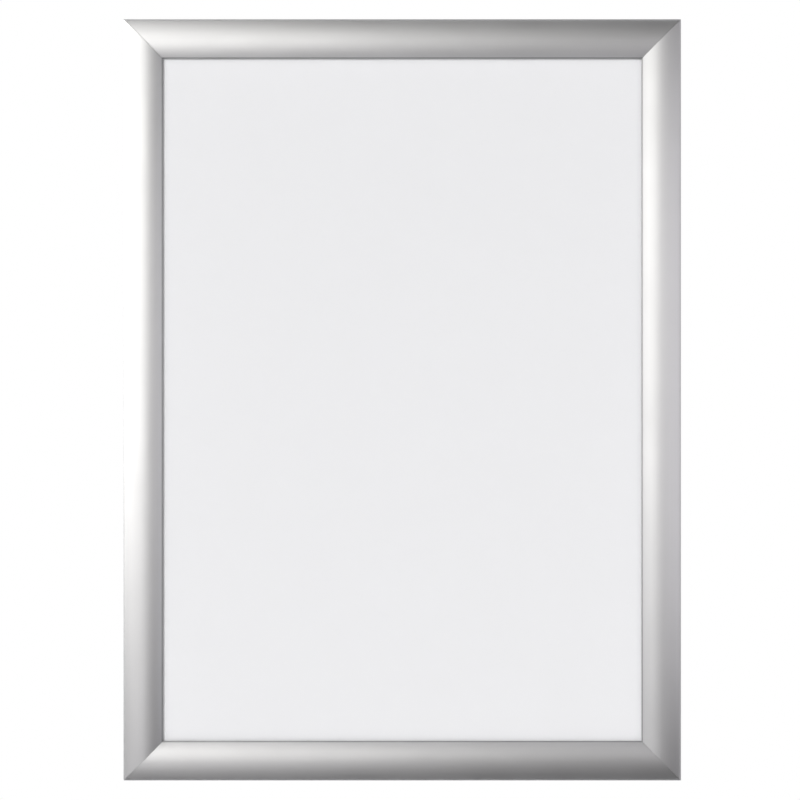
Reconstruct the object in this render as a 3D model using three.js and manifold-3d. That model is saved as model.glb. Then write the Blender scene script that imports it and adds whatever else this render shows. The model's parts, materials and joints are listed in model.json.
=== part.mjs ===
// Snap poster frame for A2 paper, to hang on a wall.
// Four base rails carry a back panel, a poster and a clear sheet. A cover rail is hinged along the outer
// edge of each base rail, and curved leaf springs hold it either shut on the sheets or wide open.
// Millimetres, +Z up, front towards -Y. The wall is the plane y = 0, and the origin is on it, in the middle
// of the line of the two upper wall screws.
// A rail's section is drawn with x = distance inwards from the frame's outer edge, and y = height above the
// wall. It is then extruded along the rail.

import * as THREE from 'three';
import { mergeVertices } from 'three/addons/utils/BufferGeometryUtils.js';
import Module from 'manifold-3d';

// The A2 paper that the frame is made for, and the frame's reach past its edges
const PAPER_WIDTH = 420;
const PAPER_HEIGHT = 594;
const PAPER_THICKNESS = 0.25;
const SIDE_MARGIN = 24;
const END_MARGIN = 22.5;

// Rails
const FRAME_DEPTH = 13.5;
const RAIL_WIDTH = 33;
const MITRE_GAP = 0.3;

// The other sheets
const CLEAR_SHEET_THICKNESS = 0.5;
const CLEAR_SHEET_OVERSIZE = 1;
const BACK_PANEL_THICKNESS = 1;
const SHEET_GAP = 0.05;

// Base rail
const FLOOR_THICKNESS = 1.3;
const FLOOR_SHORT_OF_LIP = 3;
const HINGE_BLOCK_WALL = 2.05;
const FLANGE_THICKNESS = 0.8;
const CHANNEL_FLANGE_REACH = 1.5;
const POCKET_WALL = 1.2;
const PANEL_EDGE_CLEARANCE = 0.3;
const PANEL_FACE_CLEARANCE = 0.25;
const SHEET_EDGE_CLEARANCE = 1;

// Wall-screw holes, in the key channels of the top and bottom rails
const SCREW_HOLE_DIAMETER = 4.5;
const SCREW_HOLE_FROM_END = 59;
const SCREW_HOLE_SIDES = 24;
const SCREW_HOLE_OVERRUN = 2;

// Corner keys
const KEY_WIDTH = 9.6;
const KEY_THICKNESS = 1.6;
const KEY_LEG = 38;
const KEY_SIDE_CLEARANCE = 0.3;
const KEY_FACE_CLEARANCE = 0.15;

// Hinge: a bead along the cover's outer edge turns in a socket along the base rail
const HINGE_BEAD_RADIUS = 1.2;
const HINGE_CLEARANCE = 0.06;
const SOCKET_WALL = 1;
const NECK_THICKNESS = 0.8;
const NECK_LEAN = 22;
const NECK_LENGTH = 2.9;
const OPENING_ANGLE = 95;
const STOP_MARGIN = 3;
const BEAD_END_CLEARANCE = 0.4;

// Cover rail
const SKIN = 1.4;
const CREST_FROM_EDGE = 16.5;
const SHOULDER_RADIUS = 5;
const SIDE_WALL_HEIGHT = 1;
const SIDE_WALL_FOOT = 0.95;
const NOSE_RADIUS = 1.2;
const NOSE_CLEARANCE = 0.3;

// Leaf springs and their seats
const SPRING_THICKNESS = 0.5;
const SPRING_WIDTH = 30;
const SPRING_RISE = 1.2;
const SPRING_SEAT_CLEARANCE = 0.3;
const SPRINGS_ON_LONG_SIDE = 3;
const SPRINGS_ON_SHORT_SIDE = 2;
const BASE_SEAT_FROM_HINGE = 4;
const BASE_SEAT_WALL = 0.7;
const BASE_SEAT_OUTER_DROP = 0.1;
const BASE_SEAT_INNER_DROP = 0.3;
const COVER_SEAT_FROM_HINGE = 12;
const RIB_THICKNESS = 1.2;
const RIB_LIP_THICKNESS = 0.75;
const RIB_LIP_REACH = 0.85;
const RIB_LIP_GAP = 0.2;
const RIB_CLEARANCE = 0.4;
const RIB_END_SETBACK = 4;

// Facets, in degrees of arc
const CROWN_FACET = 3.5;
const SMALL_FACET = 15;

// Outer size of the frame
const FRAME_WIDTH = PAPER_WIDTH + 2 * SIDE_MARGIN;
const FRAME_HEIGHT = PAPER_HEIGHT + 2 * END_MARGIN;

// The socket is open from the neck's place when shut to its place when open
const SOCKET_RADIUS = HINGE_BEAD_RADIUS + HINGE_CLEARANCE;
const SOCKET_OUTER_RADIUS = SOCKET_RADIUS + SOCKET_WALL;
const NECK_ANGLE = 90 + NECK_LEAN;
const NECK_HALF_ANGLE = degrees(Math.asin(NECK_THICKNESS / 2 / SOCKET_RADIUS));
const SOCKET_TOP_ANGLE = NECK_ANGLE - NECK_HALF_ANGLE - STOP_MARGIN;
const SOCKET_TIP_ANGLE = NECK_ANGLE + OPENING_ANGLE + NECK_HALF_ANGLE + STOP_MARGIN;
const HINGE = new THREE.Vector2(
  -SOCKET_OUTER_RADIUS * Math.cos(radians(SOCKET_TIP_ANGLE)),
  SOCKET_OUTER_RADIUS,
);
const SOCKET_TOP = HINGE.y + SOCKET_OUTER_RADIUS;

const CHANNEL_WIDTH = KEY_WIDTH + 2 * KEY_SIDE_CLEARANCE;
const CHANNEL_START = HINGE.x + SOCKET_RADIUS + HINGE_BLOCK_WALL;
const CHANNEL_END = CHANNEL_START + CHANNEL_WIDTH;
const CHANNEL_CENTRE = CHANNEL_START + CHANNEL_WIDTH / 2;
const CHANNEL_TOP = FLOOR_THICKNESS + KEY_THICKNESS + 2 * KEY_FACE_CLEARANCE;
const CHANNEL_FLANGE_TOP = CHANNEL_TOP + FLANGE_THICKNESS;
const POCKET_START = CHANNEL_END + POCKET_WALL;
const PANEL_INSET = POCKET_START + PANEL_EDGE_CLEARANCE;

const PANEL_BACK = FLOOR_THICKNESS + SHEET_GAP;
const PANEL_FRONT = PANEL_BACK + BACK_PANEL_THICKNESS;
const PAPER_BACK = PANEL_FRONT + SHEET_GAP;
const CLEAR_SHEET_BACK = PAPER_BACK + PAPER_THICKNESS + SHEET_GAP;
const CLEAR_SHEET_FRONT = CLEAR_SHEET_BACK + CLEAR_SHEET_THICKNESS;

// The two spring seats and the hinge are in line when the cover is half open. The rib that carries the
// cover's seat clears the channel's flange.
const SEAT_HOLLOW_RADIUS = SPRING_THICKNESS / 2 + SPRING_SEAT_CLEARANCE;
const RIB_LIP_FACE = SEAT_HOLLOW_RADIUS + RIB_LIP_GAP;
const COVER_SEAT_HEIGHT = CHANNEL_FLANGE_TOP + RIB_CLEARANCE + RIB_LIP_THICKNESS + RIB_LIP_FACE;
const COVER_SEAT_ANGLE = degrees(Math.asin((COVER_SEAT_HEIGHT - HINGE.y) / COVER_SEAT_FROM_HINGE));
const COVER_SEAT = polar(HINGE, COVER_SEAT_FROM_HINGE, COVER_SEAT_ANGLE);
const BASE_SEAT = polar(HINGE, BASE_SEAT_FROM_HINGE, COVER_SEAT_ANGLE + OPENING_ANGLE / 2);

// The crown is two arcs that meet at the crest: the outer one runs into the shoulder, and the inner one into
// the rounded nose that rests on the clear sheet.
const CREST = new THREE.Vector2(CREST_FROM_EDGE, FRAME_DEPTH);
const SHOULDER_CENTRE = new THREE.Vector2(SHOULDER_RADIUS, SOCKET_TOP + SIDE_WALL_HEIGHT);
const NOSE_CENTRE = new THREE.Vector2(
  RAIL_WIDTH - NOSE_RADIUS,
  CLEAR_SHEET_FRONT + NOSE_CLEARANCE + NOSE_RADIUS,
);

const ALUMINIUM = { color: 0xc6c7c8, roughness: 0.38, metalness: 1 };
const RAW_ALUMINIUM = { color: 0xb4b6b8, roughness: 0.45, metalness: 1 };
const ZINCED_STEEL = { color: 0xa9adb0, roughness: 0.4, metalness: 1 };
const SPRING_STEEL = { color: 0x6f7479, roughness: 0.35, metalness: 1 };
const WHITE_PLASTIC = { color: 0xf0f0ee, roughness: 0.6, metalness: 0 };
const GREY_PAPER = { color: 0xebebed, roughness: 0.9, metalness: 0 };
const CLEAR_PLASTIC = { color: 0xffffff, roughness: 0.25, metalness: 0, transparent: true, opacity: 0.2 };

const wasm = await Module();
wasm.setup();

function radians(angle) {
  return THREE.MathUtils.degToRad(angle);
}

function degrees(angle) {
  return THREE.MathUtils.radToDeg(angle);
}

// Point at a distance and angle from a centre
function polar(centre, radius, angle) {
  return new THREE.Vector2(
    centre.x + radius * Math.cos(radians(angle)),
    centre.y + radius * Math.sin(radians(angle)),
  );
}

// Angle of the direction from one point to another
function bearing(from, to) {
  return degrees(Math.atan2(to.y - from.y, to.x - from.x));
}

// Points along an arc, both ends included
function arc(centre, radius, fromAngle, toAngle, facet) {
  const steps = Math.ceil(Math.abs(toAngle - fromAngle) / facet);
  const turn = (toAngle - fromAngle) / steps;
  return Array.from({ length: steps + 1 }, (_, step) => polar(centre, radius, fromAngle + turn * step));
}

// Radius of the arc that is level at the crest and runs into a smaller circle inside it
function crestArcRadius(circleCentre, circleRadius) {
  const reach = circleCentre.x - CREST.x;
  const drop = CREST.y - circleCentre.y;
  return (reach ** 2 + drop ** 2 - circleRadius ** 2) / (2 * (drop - circleRadius));
}

function corners(...pairs) {
  return pairs.map(([x, y]) => new THREE.Vector2(x, y));
}

// Closed mesh to solid
function toSolid(geometry) {
  const bare = geometry.clone();
  bare.deleteAttribute('normal');
  bare.deleteAttribute('uv');
  const merged = mergeVertices(bare, 1e-5);
  const mesh = new wasm.Mesh({
    numProp: 3,
    vertProperties: Float32Array.from(merged.attributes.position.array),
    triVerts: Uint32Array.from(merged.index.array),
  });
  return new wasm.Manifold(mesh);
}

// Solid to flat-shaded mesh
function toGeometry(solid) {
  const mesh = solid.getMesh();
  const indexed = new THREE.BufferGeometry();
  indexed.setAttribute('position', new THREE.BufferAttribute(mesh.vertProperties, 3));
  indexed.setIndex(new THREE.BufferAttribute(mesh.triVerts, 1));
  const geometry = indexed.toNonIndexed();
  geometry.computeVertexNormals();
  return geometry;
}

// Bar with square ends, centred on its length
function squareBar(outline, length) {
  const section = new THREE.Shape(outline);
  const geometry = new THREE.ExtrudeGeometry(section, { depth: length, bevelEnabled: false });
  geometry.translate(0, 0, -length / 2);
  return geometry;
}

// Bar with both ends cut at 45 degrees, longest along the frame's outer edge
function mitredBar(outline, length) {
  const geometry = squareBar(outline, length);
  const position = geometry.attributes.position;
  for (let index = 0; index < position.count; index += 1) {
    const end = Math.sign(position.getZ(index));
    position.setZ(index, end * (length / 2 - MITRE_GAP / 2 - position.getX(index)));
  }
  geometry.computeVertexNormals();
  return geometry;
}

// Section of a base rail: hinge socket, spring seat, key channel, panel groove and floor
function baseRailOutline() {
  const floorEnd = RAIL_WIDTH - FLOOR_SHORT_OF_LIP;
  const grooveTop = PANEL_FRONT + PANEL_FACE_CLEARANCE;
  const grooveFlangeTop = grooveTop + FLANGE_THICKNESS;
  const sheetEdge = Math.min(SIDE_MARGIN, END_MARGIN) - CLEAR_SHEET_OVERSIZE / 2;
  const grooveFlangeEnd = sheetEdge - SHEET_EDGE_CLEARANCE;
  const outerRim = BASE_SEAT.y - BASE_SEAT_OUTER_DROP;
  const innerRim = BASE_SEAT.y - BASE_SEAT_INNER_DROP;
  const outerRimAngle = degrees(Math.asin(BASE_SEAT_OUTER_DROP / SEAT_HOLLOW_RADIUS));
  const innerRimAngle = degrees(Math.asin(BASE_SEAT_INNER_DROP / SEAT_HOLLOW_RADIUS));
  const seatReach = SEAT_HOLLOW_RADIUS + BASE_SEAT_WALL;
  return [
    ...arc(HINGE, SOCKET_OUTER_RADIUS, SOCKET_TIP_ANGLE, 270, SMALL_FACET),
    ...corners(
      [floorEnd, 0],
      [floorEnd, FLOOR_THICKNESS],
      [POCKET_START, FLOOR_THICKNESS],
      [POCKET_START, grooveTop],
      [grooveFlangeEnd, grooveTop],
      [grooveFlangeEnd, grooveFlangeTop],
      [POCKET_START, grooveFlangeTop],
      [POCKET_START, CHANNEL_FLANGE_TOP],
      [CHANNEL_END - CHANNEL_FLANGE_REACH, CHANNEL_FLANGE_TOP],
      [CHANNEL_END - CHANNEL_FLANGE_REACH, CHANNEL_TOP],
      [CHANNEL_END, CHANNEL_TOP],
      [CHANNEL_END, FLOOR_THICKNESS],
      [CHANNEL_START, FLOOR_THICKNESS],
      [CHANNEL_START, CHANNEL_TOP],
      [CHANNEL_START + CHANNEL_FLANGE_REACH, CHANNEL_TOP],
      [CHANNEL_START + CHANNEL_FLANGE_REACH, CHANNEL_FLANGE_TOP],
      [BASE_SEAT.x + seatReach, CHANNEL_FLANGE_TOP],
      [BASE_SEAT.x + seatReach, innerRim],
    ),
    ...arc(BASE_SEAT, SEAT_HOLLOW_RADIUS, -innerRimAngle, outerRimAngle - 180, SMALL_FACET),
    ...corners([BASE_SEAT.x - seatReach, outerRim]),
    ...arc(HINGE, SOCKET_RADIUS, SOCKET_TOP_ANGLE, SOCKET_TIP_ANGLE - 360, SMALL_FACET),
  ];
}

// Section of a cover's crown: side wall, shoulder, two arcs and nose, SKIN thick
function crownOutline() {
  const outerRadius = crestArcRadius(SHOULDER_CENTRE, SHOULDER_RADIUS);
  const innerRadius = crestArcRadius(NOSE_CENTRE, NOSE_RADIUS);
  const outerCentre = new THREE.Vector2(CREST.x, CREST.y - outerRadius);
  const innerCentre = new THREE.Vector2(CREST.x, CREST.y - innerRadius);
  const shoulderAngle = bearing(outerCentre, SHOULDER_CENTRE);
  const noseAngle = bearing(innerCentre, NOSE_CENTRE);
  const noseDistance = innerRadius - NOSE_RADIUS;
  const undersideRadius = innerRadius - SKIN;
  const undersideAngle = noseAngle + degrees(Math.acos(
    (undersideRadius ** 2 + noseDistance ** 2 - NOSE_RADIUS ** 2) / (2 * undersideRadius * noseDistance),
  ));
  const noseStart = bearing(NOSE_CENTRE, polar(innerCentre, undersideRadius, undersideAngle));
  return [
    ...corners([0, SOCKET_TOP], [SIDE_WALL_FOOT, SOCKET_TOP]),
    ...arc(SHOULDER_CENTRE, SHOULDER_RADIUS - SKIN, 180, shoulderAngle, SMALL_FACET),
    ...arc(outerCentre, outerRadius - SKIN, shoulderAngle, 90, CROWN_FACET).slice(1, -1),
    ...arc(innerCentre, undersideRadius, 90, undersideAngle, CROWN_FACET),
    ...arc(NOSE_CENTRE, NOSE_RADIUS, noseStart, noseAngle + 360, SMALL_FACET).slice(1, -1),
    ...arc(innerCentre, innerRadius, noseAngle, 90, CROWN_FACET),
    ...arc(outerCentre, outerRadius, 90, shoulderAngle, CROWN_FACET).slice(1, -1),
    ...arc(SHOULDER_CENTRE, SHOULDER_RADIUS, shoulderAngle, 180, SMALL_FACET),
  ];
}

// Section of a cover's hinge: neck and bead
function hingeOutline() {
  const halfAngle = degrees(Math.asin(NECK_THICKNESS / 2 / HINGE_BEAD_RADIUS));
  const neckTop = polar(HINGE, NECK_LENGTH, NECK_ANGLE);
  return [
    polar(neckTop, NECK_THICKNESS / 2, NECK_ANGLE + 90),
    ...arc(HINGE, HINGE_BEAD_RADIUS, NECK_ANGLE + halfAngle, NECK_ANGLE + 360 - halfAngle, SMALL_FACET),
    polar(neckTop, NECK_THICKNESS / 2, NECK_ANGLE - 90),
  ];
}

// Section of a cover's spring rib: a web with one lip above the spring's edge and one below it
function ribOutline() {
  const webFace = COVER_SEAT.x + SEAT_HOLLOW_RADIUS;
  const webBack = webFace + RIB_THICKNESS;
  const webTop = FRAME_DEPTH - SKIN;
  const lipEnd = webFace - RIB_LIP_REACH;
  const upperLip = COVER_SEAT.y + RIB_LIP_FACE;
  const lowerLip = COVER_SEAT.y - RIB_LIP_FACE;
  return corners(
    [lipEnd, lowerLip - RIB_LIP_THICKNESS],
    [webBack, lowerLip - RIB_LIP_THICKNESS],
    [webBack, webTop],
    [webFace, webTop],
    [webFace, upperLip + RIB_LIP_THICKNESS],
    [lipEnd, upperLip + RIB_LIP_THICKNESS],
    [lipEnd, upperLip],
    [webFace, upperLip],
    [webFace, lowerLip],
    [lipEnd, lowerLip],
  );
}

// Section of a spring: a strip bent to an arc between its two seats
function springOutline() {
  const halfSpan = BASE_SEAT.distanceTo(COVER_SEAT) / 2;
  const radius = (halfSpan ** 2 + SPRING_RISE ** 2) / (2 * SPRING_RISE);
  const halfAngle = degrees(Math.asin(halfSpan / radius));
  const up = bearing(BASE_SEAT, COVER_SEAT) + 90;
  const middle = BASE_SEAT.clone().add(COVER_SEAT).divideScalar(2);
  const centre = polar(middle, radius - SPRING_RISE, up + 180);
  return [
    ...arc(centre, radius + SPRING_THICKNESS / 2, up - halfAngle, up + halfAngle, SMALL_FACET / 2),
    ...arc(centre, radius - SPRING_THICKNESS / 2, up + halfAngle, up - halfAngle, SMALL_FACET / 2),
  ];
}

function screwHole() {
  const length = FLOOR_THICKNESS + 2 * SCREW_HOLE_OVERRUN;
  const geometry = new THREE.CylinderGeometry(
    SCREW_HOLE_DIAMETER / 2,
    SCREW_HOLE_DIAMETER / 2,
    length,
    SCREW_HOLE_SIDES,
  );
  geometry.translate(CHANNEL_CENTRE, FLOOR_THICKNESS / 2, 0);
  return geometry;
}

function baseRailGeometry(length, hasScrewHoles) {
  const rail = mitredBar(baseRailOutline(), length);
  if (!hasScrewHoles) {
    return rail;
  }
  let solid = toSolid(rail);
  for (const end of [-1, 1]) {
    solid = solid.subtract(toSolid(screwHole().translate(0, 0, end * (length / 2 - SCREW_HOLE_FROM_END))));
  }
  return toGeometry(solid);
}

// The bead and the rib stop short of the mitres, so that they clear the neighbouring rails as they turn
function coverGeometry(length) {
  const beadSetback = HINGE.x + SOCKET_RADIUS + BEAD_END_CLEARANCE;
  const ribSetback = COVER_SEAT.x + SEAT_HOLLOW_RADIUS + RIB_THICKNESS + RIB_END_SETBACK;
  const crown = toSolid(mitredBar(crownOutline(), length));
  const hinge = toSolid(squareBar(hingeOutline(), length - 2 * beadSetback));
  const rib = toSolid(squareBar(ribOutline(), length - 2 * ribSetback));
  return toGeometry(crown.add(hinge).add(rib));
}

// L-shaped key, its outer corner at the origin and its legs along +x and +y
function cornerKeyGeometry() {
  const outline = corners(
    [0, 0],
    [KEY_LEG, 0],
    [KEY_LEG, KEY_WIDTH],
    [KEY_WIDTH, KEY_WIDTH],
    [KEY_WIDTH, KEY_LEG],
    [0, KEY_LEG],
  );
  return new THREE.ExtrudeGeometry(new THREE.Shape(outline), { depth: KEY_THICKNESS, bevelEnabled: false });
}

function piece(name, geometry, finish) {
  const mesh = new THREE.Mesh(geometry, new THREE.MeshStandardMaterial(finish));
  mesh.name = name;
  return mesh;
}

// Flat sheet, centred on the frame, with its back at a height above the wall
function sheet(name, width, height, thickness, back, finish) {
  const mesh = piece(name, new THREE.BoxGeometry(width, thickness, height), finish);
  mesh.position.y = -(back + thickness / 2);
  return mesh;
}

// One side of the frame, built along the bottom: section x points up the frame and section y to the front
function side({ name, turn, length, across, springs, hasScrewHoles }) {
  const rail = new THREE.Group();
  rail.matrixAutoUpdate = false;
  rail.matrix.makeBasis(
    new THREE.Vector3(0, 0, 1),
    new THREE.Vector3(0, -1, 0),
    new THREE.Vector3(1, 0, 0),
  ).setPosition(0, 0, -across / 2);
  rail.add(piece(`base_rail_${name}`, baseRailGeometry(length, hasScrewHoles), RAW_ALUMINIUM));
  rail.add(piece(`snap_cover_${name}`, coverGeometry(length), ALUMINIUM));
  for (let count = 1; count <= springs; count += 1) {
    const spring = piece(`spring_${name}_${count}`, squareBar(springOutline(), SPRING_WIDTH), SPRING_STEEL);
    spring.position.z = length * ((count - 0.5) / springs - 0.5);
    rail.add(spring);
  }
  const group = new THREE.Group();
  group.rotation.y = radians(turn);
  group.add(rail);
  return group;
}

// Key at one corner, turned from the bottom left one
function cornerKey({ name, turn, across, along }) {
  const inset = CHANNEL_START + KEY_SIDE_CLEARANCE;
  const key = piece(`corner_key_${name}`, cornerKeyGeometry(), ZINCED_STEEL);
  key.rotation.x = Math.PI / 2;
  key.position.set(inset - along / 2, -FLOOR_THICKNESS - KEY_FACE_CLEARANCE, inset - across / 2);
  const group = new THREE.Group();
  group.rotation.y = radians(turn);
  group.add(key);
  return group;
}

const SHORT_SIDE = {
  length: FRAME_WIDTH,
  across: FRAME_HEIGHT,
  springs: SPRINGS_ON_SHORT_SIDE,
  hasScrewHoles: true,
};
const LONG_SIDE = {
  length: FRAME_HEIGHT,
  across: FRAME_WIDTH,
  springs: SPRINGS_ON_LONG_SIDE,
  hasScrewHoles: false,
};

const frame = new THREE.Group();
frame.position.z = CHANNEL_CENTRE - FRAME_HEIGHT / 2;
frame.add(
  side({ name: 'bottom', turn: 0, ...SHORT_SIDE }),
  side({ name: 'left', turn: 90, ...LONG_SIDE }),
  side({ name: 'top', turn: 180, ...SHORT_SIDE }),
  side({ name: 'right', turn: -90, ...LONG_SIDE }),
  cornerKey({ name: 'bottom_left', turn: 0, across: FRAME_HEIGHT, along: FRAME_WIDTH }),
  cornerKey({ name: 'top_left', turn: 90, across: FRAME_WIDTH, along: FRAME_HEIGHT }),
  cornerKey({ name: 'top_right', turn: 180, across: FRAME_HEIGHT, along: FRAME_WIDTH }),
  cornerKey({ name: 'bottom_right', turn: -90, across: FRAME_WIDTH, along: FRAME_HEIGHT }),
  sheet(
    'back_panel',
    FRAME_WIDTH - 2 * PANEL_INSET,
    FRAME_HEIGHT - 2 * PANEL_INSET,
    BACK_PANEL_THICKNESS,
    PANEL_BACK,
    WHITE_PLASTIC,
  ),
  sheet('poster_sheet', PAPER_WIDTH, PAPER_HEIGHT, PAPER_THICKNESS, PAPER_BACK, GREY_PAPER),
  sheet(
    'clear_cover_sheet',
    PAPER_WIDTH + CLEAR_SHEET_OVERSIZE,
    PAPER_HEIGHT + CLEAR_SHEET_OVERSIZE,
    CLEAR_SHEET_THICKNESS,
    CLEAR_SHEET_BACK,
    CLEAR_PLASTIC,
  ),
);

const posterFrame = new THREE.Group();
posterFrame.add(frame);

export default posterFrame;
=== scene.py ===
"""Looks of a wall-hung snap poster frame for A2 paper, in satin silver anodised aluminium.

Metres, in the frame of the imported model: +Z up, front towards -Y, the wall at y = 0. A rail's section is
drawn with x = distance inwards from the frame's outer edge and y = height above the wall, and its third
axis runs along the rail.
"""

import json
import logging
import math
from dataclasses import dataclass, field
from enum import Enum

import bmesh
import bpy
from mathutils import Matrix, Vector


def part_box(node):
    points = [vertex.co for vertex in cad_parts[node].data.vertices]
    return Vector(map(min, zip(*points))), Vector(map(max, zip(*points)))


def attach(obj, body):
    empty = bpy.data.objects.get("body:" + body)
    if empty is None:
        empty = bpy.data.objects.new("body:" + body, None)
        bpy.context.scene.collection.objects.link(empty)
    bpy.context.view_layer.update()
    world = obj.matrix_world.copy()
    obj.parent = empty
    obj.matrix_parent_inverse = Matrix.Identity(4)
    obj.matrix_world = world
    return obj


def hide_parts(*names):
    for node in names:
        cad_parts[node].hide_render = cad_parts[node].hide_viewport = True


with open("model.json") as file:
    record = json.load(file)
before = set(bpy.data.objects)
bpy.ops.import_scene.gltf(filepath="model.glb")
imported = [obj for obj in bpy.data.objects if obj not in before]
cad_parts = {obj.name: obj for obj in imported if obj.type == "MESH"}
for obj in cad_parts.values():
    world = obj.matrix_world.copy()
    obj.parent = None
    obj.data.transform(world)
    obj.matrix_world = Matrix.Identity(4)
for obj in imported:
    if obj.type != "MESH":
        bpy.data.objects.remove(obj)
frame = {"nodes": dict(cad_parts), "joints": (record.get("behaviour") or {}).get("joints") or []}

MM = 0.001
RAIL_UV = "rail"
# U at which a hidden bar starts in the rail's UV map, past the whole of the shell's section
HIDDEN_U = 0.1
# Distance in metres within which a point counts as lying on a cut
CUT_TOLERANCE = 1e-7
# Nearly all of a noise texture's values lie in this span
NOISE_SPAN = {"From Min": 0.3, "From Max": 0.7}

log = logging.getLogger("poster_frame")


class Side(Enum):
    """The four sides of the frame. The value is the turn in degrees from the bottom one, about +Y."""

    BOTTOM = 0
    LEFT = 90
    TOP = 180
    RIGHT = -90

    @property
    def word(self) -> str:
        """The side's name as the nodes spell it."""
        return self.name.lower()

    @property
    def upright(self) -> bool:
        """True where the rail runs up and down."""
        return self in (Side.LEFT, Side.RIGHT)


class Run(Enum):
    """The axis that a rail's drawing lines follow, in object coordinates."""

    ACROSS = 0
    UP = 2


def linear_colour(hex_colour: str) -> tuple[float, float, float, float]:
    """Turns an sRGB hex colour to a linear one.

    Args:
        hex_colour: Six hex digits after a hash sign.

    Returns:
        Red, green, blue and an alpha of 1, linear.
    """
    channels = [int(hex_colour[start:start + 2], 16) / 255 for start in (1, 3, 5)]
    red, green, blue = (
        value / 12.92 if value <= 0.04045 else ((value + 0.055) / 1.055) ** 2.4
        for value in channels
    )
    return red, green, blue, 1.0


def add_node(
    tree: bpy.types.NodeTree,
    kind: str,
    settings: dict[str, object] | None = None,
    inputs: dict[str | int, object] | None = None,
) -> bpy.types.Node:
    """Adds a node with its settings, and with its inputs set or linked.

    Args:
        tree: Tree that gets the node.
        kind: The node's Blender type.
        settings: Values of the node's own properties.
        inputs: Values or output sockets, by the input's name or place.

    Returns:
        The new node.
    """
    node = tree.nodes.new(kind)
    for name, value in (settings or {}).items():
        setattr(node, name, value)
    for name, value in (inputs or {}).items():
        if isinstance(value, bpy.types.NodeSocket):
            tree.links.new(value, node.inputs[name])
        else:
            node.inputs[name].default_value = value
    return node


def new_material(name: str) -> tuple[bpy.types.Material, bpy.types.NodeTree]:
    """Makes a material with an empty node tree.

    Args:
        name: The material's name.

    Returns:
        The material and its tree.
    """
    material = bpy.data.materials.new(name)
    material.use_nodes = True
    material.node_tree.nodes.clear()
    return material, material.node_tree


def finish_surface(tree: bpy.types.NodeTree, shader: bpy.types.Node) -> None:
    """Links a shader to the material's output.

    Args:
        tree: The material's tree.
        shader: The node whose first output is the surface.
    """
    add_node(tree, "ShaderNodeOutputMaterial", inputs={"Surface": shader.outputs[0]})


@dataclass(frozen=True)
class Mottle:
    """A cloudy pattern: the size of its clouds, and how many octaves of finer noise they hold."""

    size: float
    octaves: float

    def inputs(self, place: bpy.types.NodeSocket) -> dict[str | int, object]:
        """Gives the inputs of the noise texture that draws the pattern.

        Args:
            place: Object coordinates.

        Returns:
            The inputs by name.
        """
        return {"Vector": place, "Scale": 1 / self.size, "Detail": self.octaves}


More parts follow.
